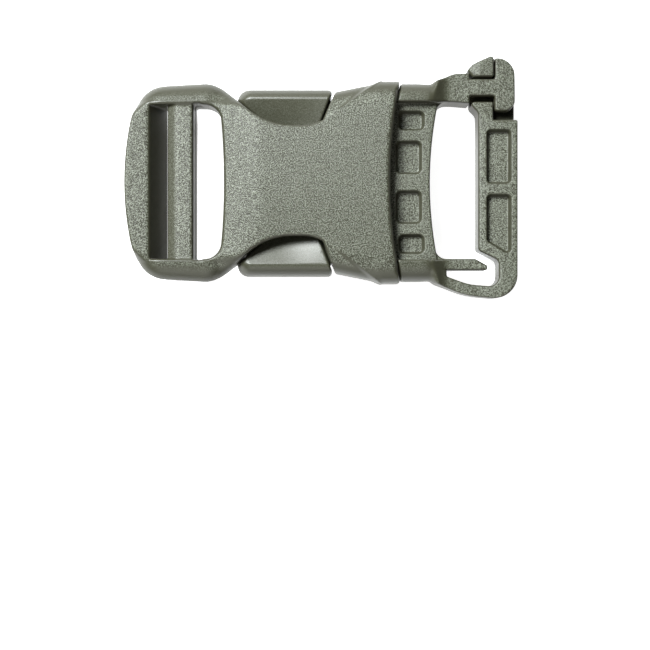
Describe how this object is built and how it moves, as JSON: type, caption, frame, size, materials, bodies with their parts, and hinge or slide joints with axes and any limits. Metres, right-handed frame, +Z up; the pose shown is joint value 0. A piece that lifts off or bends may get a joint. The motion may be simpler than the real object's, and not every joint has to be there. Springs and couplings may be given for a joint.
{
  "type": "side release buckle",
  "caption": "Fastened side release buckle for flat webbing: ladder lock socket with cut-out cheeks, and a plug with two spring arms, a pocketed crossbar and an openable hooked web bar.",
  "frame": {"origin": "middle of the buckle's plan outline, on the surface that it lies on", "axes": "+X along the webbing towards the plug's web bar, +Y across towards the catch tab, +Z up out of the face with the pockets"},
  "size_m": [0.0696, 0.043, 0.011],
  "materials": {
    "socket_plastic": "spark eroded grain, grey olive moulded plastic",
    "plug_plastic": "spark eroded grain, release pads and shoulders smoother"
  },
  "bodies": {
    "root": {"female_body": "socket_plastic", "male_plug": "plug_plastic"}
  },
  "joints": []
}
